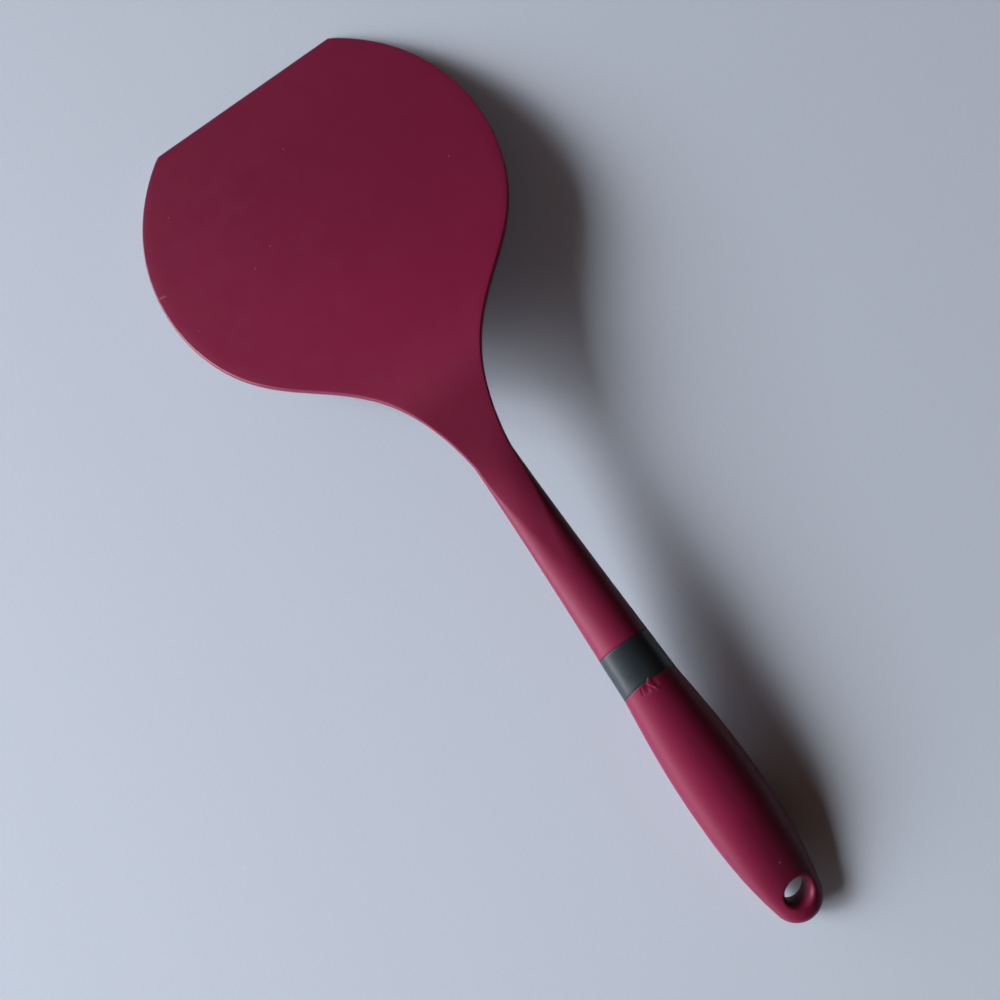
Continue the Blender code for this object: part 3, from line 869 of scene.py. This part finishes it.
def grip_silicone():
    points = [place(along, across, grip_top(along, across)) for along, across in GRIP_SPECKS]
    marks = ((points, GRIP_SPECK_RADIUS, GRIP_SPECK_COLOUR),)
    return silicone("wine_red_silicone_grip", GRIP_REDS, marks, specular=0.38)


def collar_plastic():
    """Satin dark grey band with a fine eroded moulding texture."""
    material, tree, shader = new_material("dark_grey_satin")
    patches = uneven(tree, scale=140.0, detail=3.0, seed=2.2, between=(0.35, 0.65))
    colour = blend_colours(tree, patches, *COLLAR_GREYS)
    rough = uneven(tree, scale=420.0, detail=4.0, seed=4.4, to=(0.37, 0.45))
    grain = bump(tree, noise(tree, scale=3000.0, detail=3.0, seed=8.0),
                 strength=0.15, distance=0.00005)
    connect(tree, shader, colour, rough, grain)
    shader.inputs["IOR"].default_value = 1.50
    return material


def nylon():
    """Natural nylon of the hidden cores, with a faint glass-fibre grain."""
    material, tree, shader = new_material("natural_nylon_filled")
    streaks = uneven(tree, scale=260.0, detail=4.0, seed=6.1)
    colour = blend_colours(tree, streaks, *NYLON_CREAMS)
    rough = uneven(tree, scale=350.0, detail=3.0, seed=7.7, to=(0.44, 0.58))
    grain = bump(tree, noise(tree, scale=1500.0, detail=2.0, seed=9.9),
                 strength=0.2, distance=0.00006)
    connect(tree, shader, colour, rough, grain)
    return material


# Stage, light and camera

def make_floor():
    """Plain pale floor. Far from the tool the camera sees it turn into the pale background."""
    bpy.ops.mesh.primitive_circle_add(vertices=96, radius=FLOOR_RADIUS, fill_type="NGON",
                                      location=(0.0, 0.0, 0.0))
    floor = bpy.context.object
    floor.name = "floor"
    material, tree, shader = new_material("pale_floor")
    patches = uneven(tree, scale=900.0, detail=3.0, seed=2.0)
    colour = blend_colours(tree, patches, *FLOOR_PALES)
    tree.links.new(colour, shader.inputs["Base Color"])
    shader.inputs["Roughness"].default_value = 0.75
    shader.inputs["Specular IOR Level"].default_value = 0.2
    far = ramp(tree, measure(tree, "LENGTH", own_place(tree)), FLOOR_FADE)
    rays = tree.nodes.new("ShaderNodeLightPath")
    seen = tree.nodes.new("ShaderNodeEmission")
    seen.inputs["Color"].default_value = (*BACKGROUND_COLOUR, 1.0)
    tree.links.new(rays.outputs["Is Camera Ray"], seen.inputs["Strength"])
    surface = mix_shaders(tree, far, shader.outputs["BSDF"], seen.outputs["Emission"])
    tree.links.new(surface, tree.nodes["Material Output"].inputs["Surface"])
    floor.data.materials.append(material)


def background(tree, colour, strength=None):
    node = tree.nodes.new("ShaderNodeBackground")
    node.inputs["Color"].default_value = (*colour, 1.0)
    if strength is not None:
        tree.links.new(strength, node.inputs["Strength"])
    return node.outputs["Background"]


def make_world():
    """A faint warm fill from above and a glow low on the window's side.

    The camera sees the pale background instead.
    """
    world = bpy.data.worlds.new("room")
    scene.world = world
    world.use_nodes = True
    tree = world.node_tree
    tree.nodes.clear()
    way = tree.nodes.new("ShaderNodeTexCoord").outputs["Generated"]
    from_above = ramp(tree, measure(tree, "DOT_PRODUCT", way, FILL_FROM), FILL_BETWEEN,
                      (0.0, FILL_STRENGTH))
    low = ramp(tree, measure(tree, "DOT_PRODUCT", way, (0.0, 0.0, 1.0)), (0.0, GLOW_TOP),
               (GLOW_STRENGTH, 0.0))
    beside = ramp(tree, measure(tree, "DOT_PRODUCT", way, GLOW_FROM), GLOW_BETWEEN)
    room = tree.nodes.new("ShaderNodeAddShader")
    tree.links.new(background(tree, FILL_COLOUR, from_above), room.inputs[0])
    glow_strength = combine(tree, "MULTIPLY", low, beside)
    tree.links.new(background(tree, GLOW_COLOUR, glow_strength), room.inputs[1])
    rays = tree.nodes.new("ShaderNodeLightPath")
    surface = mix_shaders(tree, rays.outputs["Is Camera Ray"], room.outputs["Shader"],
                          background(tree, BACKGROUND_COLOUR))
    tree.links.new(surface, tree.nodes.new("ShaderNodeOutputWorld").inputs["Surface"])


def add_lamp(lamp, location, target):
    """Puts the lamp in the scene, turned towards the target."""
    item = bpy.data.objects.new(lamp.name, lamp)
    item.location = location
    item.rotation_euler = (Vector(target) - item.location).to_track_quat("-Z", "Y").to_euler()
    scene.collection.objects.link(item)
    return item


def make_lamps():
    """One broad soft lamp low on the left of the picture, like a window.

    A soft spot in the same place carries the slow fall of its light across the floor.
    """
    location = WINDOW_DISTANCE * Vector((cos(WINDOW_ELEVATION) * cos(WINDOW_AZIMUTH),
                                         cos(WINDOW_ELEVATION) * sin(WINDOW_AZIMUTH),
                                         sin(WINDOW_ELEVATION)))
    window = bpy.data.lights.new("window", "AREA")
    window.shape = "RECTANGLE"
    window.size, window.size_y = WINDOW_SIZE
    window.energy = WINDOW_ENERGY
    window.color = WINDOW_COLOUR
    add_lamp(window, location, (0.0, 0.0, 0.0)).visible_camera = False
    spot = bpy.data.lights.new("window_near_side", "SPOT")
    spot.energy = SPOT_ENERGY
    spot.color = WINDOW_COLOUR
    spot.spot_size = SPOT_ANGLE
    spot.spot_blend = 1.0
    spot.shadow_soft_size = SPOT_RADIUS
    add_lamp(spot, location, SPOT_AIM)


def make_camera():
    camera = bpy.data.cameras.new("camera")
    camera.lens = CAMERA_LENS
    camera.clip_start = CAMERA_CLIP
    item = bpy.data.objects.new("camera", camera)
    view = Vector(CAMERA_VIEW).normalized()
    right = view.cross(Vector(CAMERA_UP)).normalized()
    turned = Matrix((right, right.cross(view), -view)).transposed().to_4x4()
    item.matrix_world = Matrix.Translation(CAMERA_PLACE) @ turned
    scene.collection.objects.link(item)
    scene.camera = item


make_camera()
make_world()
make_lamps()
make_floor()
bpy.context.scene.view_settings.view_transform = "Standard"

blade_look = blade_silicone()
grip_look = grip_silicone()
pieces = ((make_head(blade_look), "head_skin", "red_silicone"),
          (make_collar(collar_plastic()), "collar", "grey_band"),
          (make_grip(grip_look), "grip", "red_silicone"))
for piece, node, slot in pieces:
    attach(piece, "root")
    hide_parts(node)
core_material = nylon()
for node in ("head_core", "handle_core"):
    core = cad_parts[node]
    for number in range(len(core.material_slots)):
        core.material_slots[number].material = core_material
